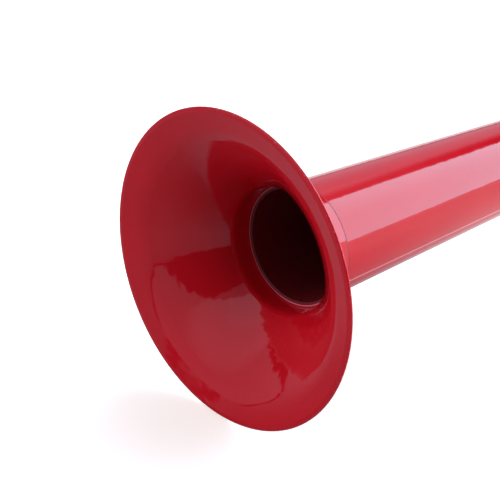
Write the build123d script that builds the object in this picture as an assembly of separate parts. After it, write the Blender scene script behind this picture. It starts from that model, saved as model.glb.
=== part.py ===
from build123d import *
import math
import os

# Telescoping stadium horn, drawn out to its full length.
# Every piece is a body of revolution about the X axis. The bell's mouth lies in the plane X = 0
# and faces -X, the mouthpiece is at the +X end, and +Z is up. Lengths are in millimetres.

# Bell: slopes are angles to the axis, in degrees. Its inner face is followed from the mouth
# inwards: a lip that is nearly flat, three bends that run into one another, and a short neck.
BELL_RADIUS = 60.0
BELL_WALL = 1.5
LIP_ROUND = 0.8
LIP_LAND = 1.0
LIP_WIDTH = 7.5
LIP_SLOPE = 70.0
LIP_BEND = (21.0, 54.0)
FLARE_BEND = (83.3, 32.0)
THROAT_BEND = (6.0, 4.5)
THROAT_X = 36.8
NECK_END_X = 40.4
NECK_END_WALL = 1.5
NECK_ROUND = 0.3
PRESS_GAP = 0.03

# Tubes: each one tapers towards the mouthpiece, and sits inside the one in front of it
TAPER = 0.019
TUBE_WALL = 1.2
TUBE_FRONT_RADIUS = 23.7
FRONT_TUBE_END_X = 236.0
MIDDLE_TUBE_START_X = 208.0
MIDDLE_TUBE_END_X = 418.0
REAR_TUBE_START_X = 390.0
REAR_TUBE_END_X = 574.0
SLIDING_GAP = 1.2
EDGE_BREAK = 0.3

# Rolled bead on each tube's mouth end
BEAD_HEIGHT = 0.5
BEAD_LENGTH = 1.2

# Collars and their seals
COLLAR_WALL = 1.6
COLLAR_OVERLAP = 14.0
COLLAR_TAIL = 7.0
COLLAR_LIP_LENGTH = 2.0
COLLAR_LIP_GAP = 0.35
COLLAR_ROUND = 0.7
SEAL_SECTION_RADIUS = 1.1
SEAL_GAP = 0.12

# Guide bushes on the front ends of the sliding tubes
BUSH_LENGTH = 12.0
BUSH_GAP = 0.35
BUSH_FIT = 0.02

# Mouthpiece: lengths are from the rear tube's end, where its shoulder rests
MOUTHPIECE_LENGTH = 44.0
SHANK_LENGTH = 24.0
SHANK_GAP = 0.2
SHANK_BORE_RADIUS = 4.6
CUP_THROAT_RADIUS = 3.2
CUP_RADIUS = 12.0
CUP_DEPTH = 13.0
RIM_RADIUS = 16.0
RIM_THICKNESS = 4.0
SHOULDER_RADIUS = 13.0
SHOULDER_LENGTH = 3.0
WAIST_RADIUS = 8.6
WAIST_OFFSET = 5.0
SHANK_SEAL_RADIUS = 0.8
SHANK_SEAL_OFFSET = 10.0

# Points that the mouthpiece's curves pass through: distance from the rim as a fraction of the
# cup's depth, and distance from the axis as a fraction of the cup's, the rim's and the waist's radius
CUP_CURVE = (0.72, 0.75)
RIM_CURVE = (0.9, 0.82)
WAIST_CURVE = (1.6, 1.08)


def turned(outline):
    """Solid made by turning a closed outline, drawn in X and radius, about the X axis."""
    return revolve(make_face(outline), Axis.X)


def tube_radius(x):
    """Outer radius of the front tube at X, which all three tubes are worked out from."""
    return TUBE_FRONT_RADIUS - TAPER * (x - THROAT_X)


def middle_radius(x):
    """Outer radius of the middle tube at X."""
    return tube_radius(x) - TUBE_WALL - SLIDING_GAP


def rear_radius(x):
    """Outer radius of the rear tube at X."""
    return middle_radius(x) - TUBE_WALL - SLIDING_GAP


def bend_point(centre, radius, slope):
    """Point of a bend where the bell's wall has the given slope."""
    angle = math.radians(slope)
    return (centre[0] - radius * math.sin(angle), centre[1] - radius * math.cos(angle))


def bell_bends():
    """Centre, radius, first slope and last slope of the bell's bends, from the lip to the throat."""
    slope = LIP_SLOPE
    lip_depth = (LIP_WIDTH - LIP_ROUND - LIP_LAND) / math.tan(math.radians(LIP_SLOPE))
    point = (lip_depth, BELL_RADIUS - LIP_WIDTH)
    bends = []
    for radius, last_slope in (LIP_BEND, FLARE_BEND, THROAT_BEND):
        angle = math.radians(slope)
        centre = (point[0] + radius * math.sin(angle), point[1] + radius * math.cos(angle))
        bends.append((centre, radius, slope, last_slope))
        point = bend_point(centre, radius, last_slope)
        slope = last_slope
    return bends


def bend_arcs(wall):
    """Arcs of the bell's bends, from the lip to the throat, moved out by a wall thickness."""
    arcs = []
    for centre, radius, first, last in bell_bends():
        stations = (first, (first + last) / 2, last)
        arcs.append(ThreePointArc(*[bend_point(centre, radius - wall, slope) for slope in stations]))
    return arcs


def bell():
    """Flared bell with a lip that lies nearly flat in the mouth, and a short neck for the tube."""
    inner = bend_arcs(0)
    outer = bend_arcs(BELL_WALL)
    neck_front = inner[-1] @ 1
    neck_radius = neck_front.Y - (THROAT_X - neck_front.X) * math.tan(math.radians(THROAT_BEND[1]))
    bead_seat = max(neck_radius, tube_radius(THROAT_X) + BEAD_HEIGHT + PRESS_GAP)
    shoulder_x = THROAT_X + BEAD_LENGTH + PRESS_GAP
    neck_outside = tube_radius(NECK_END_X) + NECK_END_WALL
    land_outer = (0, BELL_RADIUS - LIP_ROUND)
    land_inner = (0, BELL_RADIUS - LIP_ROUND - LIP_LAND)
    lip_start = outer[0] @ 0
    lip_rise = BELL_RADIUS - LIP_ROUND - lip_start.Y
    lip_back = (lip_start.X - lip_rise / math.tan(math.radians(LIP_SLOPE)), BELL_RADIUS - LIP_ROUND)

    lip_face = Line(land_inner, inner[0] @ 0)
    neck = Polyline(
        neck_front,
        (THROAT_X, bead_seat),
        (shoulder_x, bead_seat),
        (shoulder_x, tube_radius(shoulder_x) + PRESS_GAP),
        (NECK_END_X, tube_radius(NECK_END_X) + PRESS_GAP),
        (NECK_END_X, neck_outside - NECK_ROUND),
        (NECK_END_X - NECK_ROUND, neck_outside),
        outer[-1] @ 1,
    )
    lip_rear = Line(lip_start, lip_back)
    lip_round = ThreePointArc(lip_back, (lip_back[0] / 2, BELL_RADIUS), land_outer)
    land = Line(land_outer, land_inner)
    return turned([lip_face, *inner, neck, *outer, lip_rear, lip_round, land])


def tube(start, end, radius_at):
    """Thin tapered tube with a bead that makes its front edge thicker."""
    front_radius = radius_at(start) + BEAD_HEIGHT
    bead_back = start + BEAD_LENGTH
    outline = Polyline(
        (start, radius_at(start) - TUBE_WALL + EDGE_BREAK),
        (start + EDGE_BREAK, radius_at(start) - TUBE_WALL),
        (end, radius_at(end) - TUBE_WALL),
        (end, radius_at(end)),
        (bead_back, radius_at(bead_back)),
        (bead_back, front_radius),
        (start + EDGE_BREAK, front_radius),
        (start, front_radius - EDGE_BREAK),
        close=True,
    )
    return turned(outline)


def collar(tube_end, outer_tube, inner_tube):
    """Ring over a tube's rear end, with an inward lip that keeps the seal against that end."""
    start = tube_end - COLLAR_OVERLAP
    end = tube_end + COLLAR_TAIL
    seat_start = outer_tube(start) + PRESS_GAP
    seat_end = outer_tube(tube_end) + PRESS_GAP
    outside = seat_start + COLLAR_WALL
    lip_radius = inner_tube(end - COLLAR_LIP_LENGTH) + COLLAR_LIP_GAP
    outline = Polyline(
        (start, seat_start),
        (tube_end, seat_end),
        (end - COLLAR_LIP_LENGTH, seat_end),
        (end - COLLAR_LIP_LENGTH, lip_radius),
        (end, lip_radius),
        (end, outside - COLLAR_ROUND),
        (end - COLLAR_ROUND, outside),
        (start + COLLAR_ROUND, outside),
        (start, outside - COLLAR_ROUND),
        close=True,
    )
    return turned(outline)


def ring(x, inner_radius, section_radius):
    """Rubber ring of round section."""
    section = Pos(x, inner_radius + section_radius) * Circle(section_radius)
    return revolve(section, Axis.X)


def collar_seal(tube_end, inner_tube):
    """Seal that lies behind a tube's end and grips the tube that slides through it."""
    x = tube_end + SEAL_SECTION_RADIUS + SEAL_GAP
    return ring(x, inner_tube(x) + SEAL_GAP, SEAL_SECTION_RADIUS)


def guide_bush(start, outer_tube, inner_tube):
    """Slippery sleeve round the front end of a sliding tube, which centres it in the larger tube."""
    bush_start = start + BEAD_LENGTH
    bush_end = bush_start + BUSH_LENGTH
    outline = Polyline(
        (bush_start, inner_tube(bush_start) + BUSH_FIT),
        (bush_end, inner_tube(bush_end) + BUSH_FIT),
        (bush_end, outer_tube(bush_end) - TUBE_WALL - BUSH_GAP),
        (bush_start, outer_tube(bush_start) - TUBE_WALL - BUSH_GAP),
        close=True,
    )
    return turned(outline)


def shank_bore(x):
    """Inner radius of the rear tube at X, which the mouthpiece's shank fits."""
    return rear_radius(x) - TUBE_WALL


def shank_seal_x():
    """Middle of the groove that holds the shank's seal."""
    return REAR_TUBE_END_X - SHANK_SEAL_OFFSET


def shank_seal_inner_radius():
    """Inner radius of the shank's seal, which just fills the tube's bore."""
    return shank_bore(shank_seal_x()) - PRESS_GAP - 2 * SHANK_SEAL_RADIUS


def curve_point(rim, fractions, radius):
    """Point of one of the mouthpiece's curves, from its fractions of the cup's depth and a radius."""
    return (rim - fractions[0] * CUP_DEPTH, fractions[1] * radius)


def mouthpiece():
    """Cup mouthpiece with a rounded rim, a waist, a shoulder, and a shank that plugs into the tube."""
    base = REAR_TUBE_END_X
    rim = base + MOUTHPIECE_LENGTH
    tip = base - SHANK_LENGTH
    groove = shank_seal_x()
    groove_half = SHANK_SEAL_RADIUS + PRESS_GAP
    groove_floor = shank_seal_inner_radius() - PRESS_GAP
    cup_edge = (rim - RIM_THICKNESS / 2, CUP_RADIUS)
    throat = (rim - CUP_DEPTH, CUP_THROAT_RADIUS)
    rim_back = (rim - RIM_THICKNESS / 2, RIM_RADIUS)
    waist = (base + SHOULDER_LENGTH + WAIST_OFFSET, WAIST_RADIUS)

    bore = Line((tip, SHANK_BORE_RADIUS), throat)
    cup = Spline(throat, curve_point(rim, CUP_CURVE, CUP_RADIUS), cup_edge)
    rim_round = ThreePointArc(cup_edge, (rim, (CUP_RADIUS + RIM_RADIUS) / 2), rim_back)
    rim_side = Line(rim_back, (rim - RIM_THICKNESS, RIM_RADIUS))
    body = Spline(
        (rim - RIM_THICKNESS, RIM_RADIUS),
        curve_point(rim, RIM_CURVE, RIM_RADIUS),
        curve_point(rim, WAIST_CURVE, WAIST_RADIUS),
        waist,
    )
    shank = Polyline(
        waist,
        (base + SHOULDER_LENGTH, SHOULDER_RADIUS - EDGE_BREAK),
        (base + SHOULDER_LENGTH - EDGE_BREAK, SHOULDER_RADIUS),
        (base + PRESS_GAP, SHOULDER_RADIUS),
        (base + PRESS_GAP, shank_bore(base) - SHANK_GAP),
        (groove + groove_half, shank_bore(groove) - SHANK_GAP),
        (groove + groove_half, groove_floor),
        (groove - groove_half, groove_floor),
        (groove - groove_half, shank_bore(groove) - SHANK_GAP),
        (tip, shank_bore(base) - SHANK_GAP),
        (tip, SHANK_BORE_RADIUS),
    )
    return turned([bore, cup, rim_round, rim_side, body, shank])


def build():
    """Every piece of the horn by name."""
    return {
        "bell": bell(),
        "front_tube": tube(THROAT_X, FRONT_TUBE_END_X, tube_radius),
        "front_collar": collar(FRONT_TUBE_END_X, tube_radius, middle_radius),
        "front_seal": collar_seal(FRONT_TUBE_END_X, middle_radius),
        "middle_tube": tube(MIDDLE_TUBE_START_X, MIDDLE_TUBE_END_X, middle_radius),
        "middle_guide_bush": guide_bush(MIDDLE_TUBE_START_X, tube_radius, middle_radius),
        "middle_collar": collar(MIDDLE_TUBE_END_X, middle_radius, rear_radius),
        "middle_seal": collar_seal(MIDDLE_TUBE_END_X, rear_radius),
        "rear_tube": tube(REAR_TUBE_START_X, REAR_TUBE_END_X, rear_radius),
        "rear_guide_bush": guide_bush(REAR_TUBE_START_X, middle_radius, rear_radius),
        "mouthpiece": mouthpiece(),
        "mouthpiece_seal": ring(shank_seal_x(), shank_seal_inner_radius(), SHANK_SEAL_RADIUS),
    }


os.makedirs("parts", exist_ok=True)
for name, shape in build().items():
    export_step(shape, f"parts/{name}.step")
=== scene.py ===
import math

import bpy
from mathutils import Matrix, Vector


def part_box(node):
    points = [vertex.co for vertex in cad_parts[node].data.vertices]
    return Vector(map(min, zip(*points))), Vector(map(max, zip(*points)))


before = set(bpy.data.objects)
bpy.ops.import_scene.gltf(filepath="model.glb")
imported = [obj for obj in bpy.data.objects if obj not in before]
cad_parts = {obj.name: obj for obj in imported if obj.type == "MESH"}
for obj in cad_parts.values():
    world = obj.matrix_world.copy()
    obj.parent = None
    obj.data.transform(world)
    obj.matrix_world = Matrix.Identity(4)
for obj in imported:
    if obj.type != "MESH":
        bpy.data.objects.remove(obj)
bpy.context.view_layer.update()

# The horn lies on the floor on its bell's rim and its mouthpiece's rim, so the floor is a plane
# that touches both. It slopes a little in the frame, where the horn's axis is level.
BELL_RADIUS = (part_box("bell")[1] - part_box("bell")[0]).z / 2
NECK_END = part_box("bell")[1].x
MOUTHPIECE_RADIUS = (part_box("mouthpiece")[1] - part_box("mouthpiece")[0]).z / 2
HORN_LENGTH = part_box("mouthpiece")[1].x
FLOOR_SLOPE = math.atan2(BELL_RADIUS - MOUTHPIECE_RADIUS, HORN_LENGTH)

# Camera, measured from the floor: azimuth 0 looks along +Y
CAMERA_AZIMUTH = math.radians(-44.2)
CAMERA_ELEVATION = math.radians(28.4)
CAMERA_DISTANCE = 5.949 * BELL_RADIUS
CAMERA_AIM_RIGHT = 0.165 * BELL_RADIUS
CAMERA_AIM_UP = 0.142 * BELL_RADIUS
CAMERA_LENS = 72.0
CAMERA_SENSOR = 36.0
CAMERA_REACH = 50.0

# Studio, as radiances. It is dark apart from its patches and a tent over the half of the room
# that lies towards one direction. The tent begins between two sines of elevation.
DARK_ROOM = 0.02
TENT = 0.25
TENT_AZIMUTH = math.radians(175.0)
TENT_ELEVATION = math.radians(31.0)
TENT_EDGE = 0.02
TENT_RISE = (0.45, 0.62)

# Patches: middle azimuth, width, lowest and highest elevation and softness, in degrees, and the
# radiance that each adds. The soft box's light is bluer than the rest.
PATCHES = (
    (-114.0, 102.0, 1.4, 80.0, 1.2, 0.44),
    (-120.0, 110.0, 56.0, 80.0, 5.0, 0.12),
    (132.0, 52.0, 2.0, 60.0, 6.0, 0.6),
)
SOFT_BOX = (64.0, 58.0, 0.0, 42.0, 1.5, 4.25)
STUDIO_TINT = (1.0, 0.94, 1.16)
SOFT_BOX_TINT = (0.5, 0.94, 1.16)

# What the camera sees in place of the studio
BACKDROP = 1.1

# Floor: a dim grey where it is mirrored, and pale with a glow of its own where the camera sees it
FLOOR_HALF = 6.0
FLOOR_ROUGHNESS = 0.9
MIRRORED_GREY = 0.27
MIRRORED_TINT = (1.0, 0.965, 0.945)
SEEN_GREY = 0.95
SEEN_GLOW = (0.44, 0.46, 0.37)

# Painted pool of light: the mirrored floor glows, dark round the horn and brighter on one side:
# the azimuth of that side, the distances between which the glow rises, and its radiance
GLOWING_SIDE = (math.radians(100.0), 0.0, 0.25, 0.75)

# Fill lamps: azimuth and elevation in degrees, and watts
FILLS = (
    (-135.0, 6.0, 62.0),
    (45.0, 10.0, 46.0),
    (-4.0, 8.0, 52.0),
    (115.0, 55.0, 40.0),
)
FILL_WIDTH = 1.5
FILL_DISTANCE = 3.0

# Colours
RED = (0.52, 0.005, 0.012)
# painted shade: the black in the tubes' bores and in the seam at the bell's neck
PAINTED_SHADE_BLACK = (0.14, 0.012, 0.014)
# pale pink: real wear and parting lines, and a painted highlight on the tubes' front edges
PALE_WEAR_AND_HIGHLIGHT = (0.70, 0.16, 0.18)
NYLON_WHITE = (0.80, 0.78, 0.72)
RUBBER_BLACK = (0.022, 0.021, 0.020)
DUST_GREY = (0.2, 0.19, 0.18)

# Scattered marks: size across in metres, detail of outline, the noise levels between which a mark
# begins, and for some a stretch along X
PIGMENT_GRAINS = (0.0007, 1.0, 0.62, 0.72)
HANDLED_PATCHES = (0.022, 4.0, 0.52, 0.68)
RIM_SCUFFS = (0.0016, 3.0, 0.60, 0.66)
LIP_SCRATCHES = (0.0005, 4.0, 0.58, 0.64, 0.15)
RUBBED_PATCHES = (0.004, 4.0, 0.5, 0.7)
DUST_SPECKS = (0.0011, 4.0, 0.60, 0.72)

# Textures all over: size across in metres, detail, and for some a stretch along X
FLOW_MARKS = (0.03, 2.0)
HAZE = (0.0012, 3.0)
PEEL_SWELLS = (0.012, 1.0)
PEEL_WAVES = (0.0045, 1.0)
DRAWING_STREAKS = (0.0012, 2.0, 30.0)
SPARK_PITS = (0.0006, 3.0)
TURNING_MARKS = (0.0010, 2.0, 0.12)
RUBBER_GRAIN = (0.0004, 3.0)

# Depths of what is bumped, in metres
SWELL_DEPTH = 0.00012
WAVE_DEPTH = 0.00009
STREAK_DEPTH = 0.000004
PIT_DEPTH = 0.00006
TURNING_DEPTH = 0.00003
GRAIN_DEPTH = 0.00005
TUBE_RIDGE = 0.00006
MOUTHPIECE_RIDGE = 0.00008

# Bands on the pieces, each from where it begins to where it is full, in metres: the bell's worn
# rim, the painted shade line at its neck's back edge, its lip and its underside; a parting line,
# from its middle; a tube's outside, from the middle of its wall, with its bore inside painted
# black as shade, and the painted highlight along its front edge, from its front; and the
# mouthpiece's used lip
WORN_RIM = (BELL_RADIUS - 0.0008, BELL_RADIUS - 0.0001)
NECK_SEAM_SHADE = (NECK_END - 0.0009, NECK_END - 0.0007)
BELL_LIP = (0.040, 0.050)
BELL_UNDERSIDE = (0.015, -0.020)
PARTING_LINE = (0.0007, 0.0003)
TUBE_OUTSIDE = (0.0003, 0.0005)
FRONT_EDGE_HIGHLIGHT = (0.0005, 0.0003)
USED_LIP = (HORN_LENGTH - 0.006, HORN_LENGTH - 0.001)

# Each tube: radius of the middle of its wall where X is 0; all of them taper alike
TUBE_MIDDLE = {"front_tube": 0.0238, "middle_tube": 0.0214, "rear_tube": 0.0190}
TAPER = 0.019
TUBE_PARTING = math.radians(202.0)
MOUTHPIECE_PARTING = 0.0


def floor_frame():
    """Rotation from the floor's frame, whose Z is straight up from the floor, to the model's."""
    return Matrix.Rotation(-FLOOR_SLOPE, 3, "Y")


def bearing(azimuth, elevation):
    """Unit vector towards an azimuth and an elevation, in the floor's frame."""
    flat = math.cos(elevation)
    return Vector((math.sin(azimuth) * flat, -math.cos(azimuth) * flat, math.sin(elevation)))


def direction(azimuth, elevation):
    """Unit vector towards an azimuth and an elevation above the floor, in the model's frame."""
    return floor_frame() @ bearing(azimuth, elevation)


def facing(back, up):
    """Rotation of a camera or a lamp that looks along minus back."""
    right = up.cross(back).normalized()
    return Matrix((right, back.cross(right), back)).transposed()


def add_camera():
    """Camera that looks into the bell from its side and from above."""
    data = bpy.data.cameras.new("camera")
    data.lens = CAMERA_LENS
    data.sensor_width = CAMERA_SENSOR
    data.clip_end = CAMERA_REACH
    camera = bpy.data.objects.new("camera", data)
    bpy.context.scene.collection.objects.link(camera)
    back = direction(CAMERA_AZIMUTH, CAMERA_ELEVATION)
    turn = facing(back, floor_frame() @ Vector((0, 0, 1)))
    right, up = turn.col[0], turn.col[1]
    spot = back * CAMERA_DISTANCE + right * CAMERA_AIM_RIGHT + up * CAMERA_AIM_UP
    camera.matrix_world = Matrix.Translation(spot) @ turn.to_4x4()
    bpy.context.scene.camera = camera


class Graph:
    """Shorthand for adding and linking nodes in one node tree."""

    def __init__(self, tree):
        self.nodes, self.links = tree.nodes, tree.links

    def add(self, kind, inputs=(), **settings):
        """New node; an input is a value or another node's output, keyed by name or number."""
        node = self.nodes.new("ShaderNode" + kind)
        for name, value in settings.items():
            setattr(node, name, value)
        for key, value in dict(inputs).items():
            if isinstance(value, bpy.types.NodeSocket):
                self.links.new(value, node.inputs[key])
            else:
                node.inputs[key].default_value = value
        return node

    def math(self, operation, *values):
        return self.add("Math", enumerate(values), operation=operation).outputs[0]

    def step(self, value, start, end):
        """0 up to start and 1 from end on, with a smooth change between them."""
        inputs = {"Value": value, "From Min": start, "From Max": end}
        return self.add("MapRange", inputs, interpolation_type="SMOOTHSTEP").outputs[0]

    def mix(self, factor, first, second):
        """Number between two."""
        inputs = {"Factor": factor, "A": first, "B": second}
        return self.add("Mix", inputs, data_type="FLOAT").outputs[0]

    def blend(self, factor, first, second):
        """Colour between two; each is a constant or another node's output."""
        mix = self.add("Mix", {"Factor": factor}, data_type="RGBA")
        for socket, colour in ((mix.inputs[6], first), (mix.inputs[7], second)):
            if isinstance(colour, bpy.types.NodeSocket):
                self.links.new(colour, socket)
            else:
                socket.default_value = (*colour, 1)
        return mix.outputs[2]

    def total(self, base, *terms):
        """Base plus each term's factor times its amount."""
        for factor, amount in terms:
            base = self.math("ADD", self.math("MULTIPLY", factor, amount), base)
        return base

    def dot(self, vector, constant):
        inputs = {0: vector, 1: constant}
        return self.add("VectorMath", inputs, operation="DOT_PRODUCT").outputs["Value"]

    def turned(self, vector, axis, angle):
        """Vector turned about an axis through the origin."""
        inputs = {"Vector": vector, "Axis": axis, "Angle": angle}
        return self.add("VectorRotate", inputs, rotation_type="AXIS_ANGLE").outputs[0]

    def seen(self):
        """1 for what the camera sees itself, 0 for what is mirrored or only gives light."""
        return self.add("LightPath").outputs["Is Camera Ray"]


def position(graph):
    """Position in the model."""
    return graph.add("TexCoord").outputs["Object"]


def coordinates(graph, where):
    """X, Y and Z of a position."""
    return graph.add("SeparateXYZ", {0: where}).outputs


def off_axis(graph, side, height):
    """Distance from the horn's axis."""
    across, up = graph.math("MULTIPLY", side, side), graph.math("MULTIPLY", height, height)
    return graph.math("SQRT", graph.math("ADD", across, up))


def side_glow(graph, touch):
    """Painted pool of light: glow of the mirrored floor, rising from nothing towards one side."""
    azimuth, near, far, radiance = GLOWING_SIDE
    inputs = {0: position(graph), 1: touch}
    offset = graph.add("VectorMath", inputs, operation="SUBTRACT").outputs[0]
    away = graph.dot(offset, direction(azimuth, 0.0))
    return graph.math("MULTIPLY", graph.step(away, near, far), radiance)


def floor_material(touch):
    """White paper. The camera sees it burnt out; in reflections it is a dim grey."""
    material = bpy.data.materials.new("floor_white")
    material.use_nodes = True
    graph = Graph(material.node_tree)
    shader = graph.nodes["Principled BSDF"]
    seen = graph.seen()
    grey = graph.mix(seen, MIRRORED_GREY, SEEN_GREY)
    tint = graph.blend(seen, MIRRORED_TINT, SEEN_GLOW)
    glow = graph.mix(seen, side_glow(graph, touch), 1.0)
    shader.inputs["Roughness"].default_value = FLOOR_ROUGHNESS
    shader.inputs["Specular IOR Level"].default_value = 0.0
    graph.links.new(grey, shader.inputs["Base Color"])
    graph.links.new(tint, shader.inputs["Emission Color"])
    graph.links.new(glow, shader.inputs["Emission Strength"])
    return material


def add_floor():
    """Plane that touches the bell's rim and the mouthpiece's rim."""
    turn = floor_frame()
    touch = Vector((0, 0, -BELL_RADIUS))
    signs = ((-1, -1), (1, -1), (1, 1), (-1, 1))
    corners = [touch + turn @ Vector((x * FLOOR_HALF, y * FLOOR_HALF, 0)) for x, y in signs]
    mesh = bpy.data.meshes.new("floor")
    mesh.from_pydata(corners, [], [(0, 1, 2, 3)])
    mesh.materials.append(floor_material(touch))
    floor = bpy.data.objects.new("floor", mesh)
    bpy.context.scene.collection.objects.link(floor)


def noise(graph, where, size, detail, stretch=1.0):
    """Noise whose features are about a size across, in metres, stretched along X."""
    scale = (1 / size / stretch, 1 / size, 1 / size)
    spread = graph.add("VectorMath", {0: where, 1: scale}, operation="MULTIPLY").outputs[0]
    settings = {"Vector": spread, "Scale": 1.0, "Detail": detail, "Roughness": 0.5}
    return graph.add("TexNoise", settings).outputs["Fac"]


def marks(graph, where, size, detail, start, end, stretch=1.0):
    """1 on scattered marks and 0 between them."""
    return graph.step(noise(graph, where, size, detail, stretch), start, end)


def bump(graph, height, depth, strength=1.0, normal=None):
    """Normal of a surface raised by a height from 0 to 1, times a depth in metres."""
    inputs = {"Height": height, "Distance": depth, "Strength": strength}
    if normal is not None:
        inputs["Normal"] = normal
    return graph.add("Bump", inputs).outputs["Normal"]


def shaded(colour, amount):
    """Constant colour, darker or lighter."""
    return tuple(amount * part for part in colour)


def new_material(name, specular=0.5):
    """Material with its node graph and its shader."""
    material = bpy.data.materials.new(name)
    material.use_nodes = True
    graph = Graph(material.node_tree)
    shader = graph.nodes["Principled BSDF"]
    shader.inputs["IOR"].default_value = 1.5
    shader.inputs["Specular IOR Level"].default_value = specular
    return material, graph, shader


def finish_material(graph, shader, colour, roughness, normal):
    """Links what the three inputs of every material here depend on."""
    graph.links.new(colour, shader.inputs["Base Color"])
    graph.links.new(roughness, shader.inputs["Roughness"])
    graph.links.new(normal, shader.inputs["Normal"])


def red_colour(graph, where):
    """Red with slow flow marks and a fine mottle from the pigment."""
    flow = graph.blend(noise(graph, where, *FLOW_MARKS), shaded(RED, 0.9), shaded(RED, 1.1))
    grains = graph.math("MULTIPLY", marks(graph, where, *PIGMENT_GRAINS), 0.25)
    return graph.blend(grains, flow, shaded(RED, 0.75))


def gloss_roughness(graph, where):
    """Polish, with duller patches where it has been handled and fine hazy specks."""
    handled = marks(graph, where, *HANDLED_PATCHES)
    return graph.total(0.025, (handled, 0.035), (noise(graph, where, *HAZE), 0.05))


def orange_peel(graph, where, strength):
    """Swells about a centimetre across with waves of a few millimetres on them."""
    swells = bump(graph, noise(graph, where, *PEEL_SWELLS), SWELL_DEPTH, strength)
    return bump(graph, noise(graph, where, *PEEL_WAVES), WAVE_DEPTH, strength, swells)


def parting_ridge(graph, side, height, angle):
    """1 on the two lines along the horn where the mould's halves met, and 0 away from them."""
    across = graph.total(0.0, (side, -math.sin(angle)), (height, math.cos(angle)))
    return graph.step(graph.math("ABSOLUTE", across), *PARTING_LINE)


def bell_plastic():
    """Bell: worn at its rim, with a painted shade line, dark and dull, along its neck's back
    edge. The orange peel is deeper on its lower side and shallower on its lip."""
    material, graph, shader = new_material("bell_plastic")
    where = position(graph)
    along, side, height = coordinates(graph, where)
    across = off_axis(graph, side, height)
    rim = graph.math("MULTIPLY", graph.step(across, *WORN_RIM), 0.4)
    wear = graph.math("MULTIPLY", marks(graph, where, *RIM_SCUFFS), rim)
    # painted shade: a dark line at the neck's back edge, in the seam against the tube
    seam_shade = graph.step(along, *NECK_SEAM_SHADE)
    colour = graph.blend(wear, red_colour(graph, where), PALE_WEAR_AND_HIGHLIGHT)
    colour = graph.blend(graph.math("MULTIPLY", seam_shade, 0.8), colour, PAINTED_SHADE_BLACK)
    dull = graph.math("MAXIMUM", wear, seam_shade)
    roughness = graph.total(gloss_roughness(graph, where), (dull, 0.5))
    underside = graph.mix(graph.step(height, *BELL_UNDERSIDE), 0.35, 1.0)
    lip = graph.mix(graph.step(across, *BELL_LIP), 1.0, 0.4)
    peel = orange_peel(graph, where, graph.math("MULTIPLY", underside, lip))
    finish_material(graph, shader, colour, roughness, peel)
    return material


def tube_plastic(name, middle, front):
    """Tube: red outside, painted shade black in its bore, a painted highlight on its front edge,
    paler parting lines.
    """
    material, graph, shader = new_material(name)
    where = position(graph)
    along, side, height = coordinates(graph, where)
    wall = graph.math("SUBTRACT", middle, graph.math("MULTIPLY", along, TAPER))
    past_wall = graph.math("SUBTRACT", off_axis(graph, side, height), wall)
    outside = graph.step(past_wall, *TUBE_OUTSIDE)
    # painted highlight: a pale band on the outer half of the tube's front edge
    painted_edge_highlight = graph.step(graph.math("SUBTRACT", along, front), *FRONT_EDGE_HIGHLIGHT)
    ridge = parting_ridge(graph, side, height, TUBE_PARTING)
    ridge = graph.math("MULTIPLY", ridge, outside)
    # painted shade: the bore is coloured black where it would be in shade; the outside is red
    colour = graph.blend(outside, PAINTED_SHADE_BLACK, red_colour(graph, where))
    colour = graph.blend(graph.math("MULTIPLY", painted_edge_highlight, outside), colour, PALE_WEAR_AND_HIGHLIGHT)
    colour = graph.blend(ridge, colour, PALE_WEAR_AND_HIGHLIGHT)
    streaks = noise(graph, where, *DRAWING_STREAKS)
    roughness = graph.total(gloss_roughness(graph, where), (painted_edge_highlight, 0.5), (streaks, 0.02))
    drawn = bump(graph, streaks, STREAK_DEPTH, 1.0, orange_peel(graph, where, 0.45))
    finish_material(graph, shader, colour, roughness, bump(graph, ridge, TUBE_RIDGE, 1.0, drawn))
    return material


def collar_plastic():
    """Collars: spark-eroded satin all round, gloss on the ends."""
    material, graph, shader = new_material("collar_plastic")
    faces = graph.add("SeparateXYZ", {0: graph.add("NewGeometry").outputs["Normal"]}).outputs[0]
    satin = graph.step(graph.math("ABSOLUTE", faces), 0.5, 0.1)
    pits = noise(graph, position(graph), *SPARK_PITS)
    colour = graph.blend(pits, shaded(RED, 0.82), shaded(RED, 1.02))
    roughness = graph.total(0.0, (satin, 0.27), (pits, 0.12))
    pitted = bump(graph, pits, PIT_DEPTH, graph.mix(satin, 0.1, 0.9))
    finish_material(graph, shader, colour, roughness, pitted)
    return material


def mouthpiece_plastic():
    """Mouthpiece: gloss, with a fine line where the mould's halves met and dulled at its rim."""
    material, graph, shader = new_material("mouthpiece_plastic")
    where = position(graph)
    along, side, height = coordinates(graph, where)
    ridge = parting_ridge(graph, side, height, MOUTHPIECE_PARTING)
    used = graph.step(along, *USED_LIP)
    scratched = graph.math("MULTIPLY", used, marks(graph, where, *LIP_SCRATCHES))
    wear = graph.math("MULTIPLY", scratched, 0.5)
    colour = graph.blend(wear, red_colour(graph, where), PALE_WEAR_AND_HIGHLIGHT)
    roughness = graph.total(gloss_roughness(graph, where), (used, 0.12))
    normal = bump(graph, ridge, MOUTHPIECE_RIDGE, 1.0, orange_peel(graph, where, 0.35))
    finish_material(graph, shader, colour, roughness, normal)
    return material


def nylon():
    """Guide bushes: off-white satin nylon with turning marks and rubbed-on grey."""
    material, graph, shader = new_material("nylon")
    where = position(graph)
    turning = noise(graph, where, *TURNING_MARKS)
    rubbed = marks(graph, where, *RUBBED_PATCHES)
    colour = graph.blend(rubbed, NYLON_WHITE, shaded(NYLON_WHITE, 0.75))
    roughness = graph.total(0.3, (turning, 0.2))
    shader.inputs["Subsurface Weight"].default_value = 0.1
    shader.inputs["Subsurface Scale"].default_value = 0.001
    finish_material(graph, shader, colour, roughness, bump(graph, turning, TURNING_DEPTH))
    return material


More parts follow.
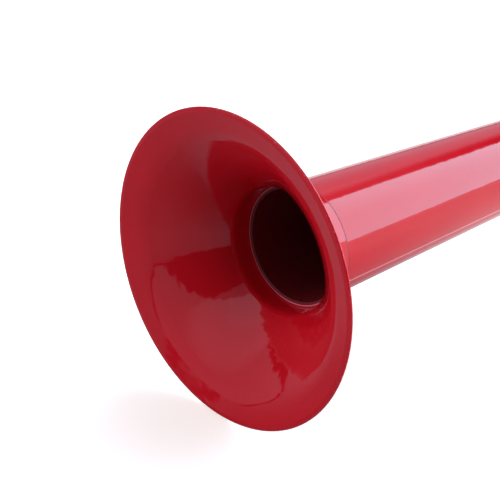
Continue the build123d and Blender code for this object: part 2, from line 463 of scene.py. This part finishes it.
def rubber():
    """Seals: matt black rubber with a fine grain and a little dust."""
    material, graph, shader = new_material("rubber", 0.35)
    where = position(graph)
    grain = noise(graph, where, *RUBBER_GRAIN)
    dust = graph.math("MULTIPLY", marks(graph, where, *DUST_SPECKS), 0.3)
    colour = graph.blend(dust, RUBBER_BLACK, DUST_GREY)
    roughness = graph.total(0.5, (grain, 0.3))
    finish_material(graph, shader, colour, roughness, bump(graph, grain, GRAIN_DEPTH))
    return material


def dress():
    """Gives every CAD node its material."""
    seal, bush, collar = rubber(), nylon(), collar_plastic()
    materials = {
        "bell": bell_plastic(),
        "mouthpiece": mouthpiece_plastic(),
        "front_collar": collar,
        "middle_collar": collar,
        "middle_guide_bush": bush,
        "rear_guide_bush": bush,
        "front_seal": seal,
        "middle_seal": seal,
        "mouthpiece_seal": seal,
    }
    for name, middle in TUBE_MIDDLE.items():
        materials[name] = tube_plastic(name + "_plastic", middle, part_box(name)[0].x)
    for name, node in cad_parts.items():
        node.data.materials.clear()
        node.data.materials.append(materials[name])
        for polygon in node.data.polygons:
            polygon.use_smooth = True


def tent_light(graph, heading):
    """Radiance of the tent over half of the room."""
    towards = graph.dot(heading, bearing(TENT_AZIMUTH, TENT_ELEVATION))
    inside = graph.step(towards, -TENT_EDGE, TENT_EDGE)
    risen = graph.step(coordinates(graph, heading)[2], *TENT_RISE)
    return graph.math("MULTIPLY", graph.math("MULTIPLY", inside, risen), TENT)


def patch_light(graph, heading, azimuth, width, low, high, softness, radiance):
    """Radiance of a patch of the studio; its angles are in degrees."""
    low, high, soft, half = (math.radians(angle) for angle in (low, high, softness, width / 2))
    ahead = graph.turned(heading, (0, 0, 1), -math.radians(azimuth))
    x, y, z = coordinates(graph, ahead)
    aside = graph.math("ABSOLUTE", graph.math("ARCTAN2", x, graph.math("MULTIPLY", y, -1.0)))
    rise = graph.math("ARCSINE", z)
    beside = graph.step(aside, half + soft, half - soft)
    above = graph.step(rise, low - soft / 2, low + soft / 2)
    below = graph.step(rise, high + soft, high - soft)
    inside = graph.math("MULTIPLY", graph.math("MULTIPLY", beside, above), below)
    return graph.math("MULTIPLY", inside, radiance)


def light():
    """Studio round the horn, and the white backdrop that the camera sees in its place."""
    world = bpy.data.worlds.new("studio")
    bpy.context.scene.world = world
    world.use_nodes = True
    graph = Graph(world.node_tree)
    heading = graph.turned(graph.add("TexCoord").outputs["Generated"], (0, 1, 0), FLOOR_SLOPE)
    radiance = graph.math("ADD", tent_light(graph, heading), DARK_ROOM)
    for patch in PATCHES:
        radiance = graph.math("ADD", radiance, patch_light(graph, heading, *patch))
    soft_box = patch_light(graph, heading, *SOFT_BOX)
    radiance = graph.math("ADD", radiance, soft_box)
    seen = graph.seen()
    share = graph.mix(seen, graph.math("DIVIDE", soft_box, radiance), 0.0)
    background = graph.nodes["Background"]
    tint = graph.blend(share, STUDIO_TINT, SOFT_BOX_TINT)
    graph.links.new(tint, background.inputs["Color"])
    graph.links.new(graph.mix(seen, radiance, BACKDROP), background.inputs["Strength"])


def add_fills():
    """Lamps that light the plastic but aren't mirrored in it."""
    for azimuth, elevation, watts in FILLS:
        data = bpy.data.lights.new("fill", "AREA")
        data.size = FILL_WIDTH
        data.energy = watts
        data.color = STUDIO_TINT
        lamp = bpy.data.objects.new("fill", data)
        bpy.context.scene.collection.objects.link(lamp)
        back = direction(math.radians(azimuth), math.radians(elevation))
        turn = facing(back, Vector((0, 0, 1)))
        lamp.matrix_world = Matrix.Translation(back * FILL_DISTANCE) @ turn.to_4x4()
        lamp.visible_glossy = False


bpy.context.scene.view_settings.view_transform = "Standard"
add_camera()
add_floor()
dress()
light()
add_fills()
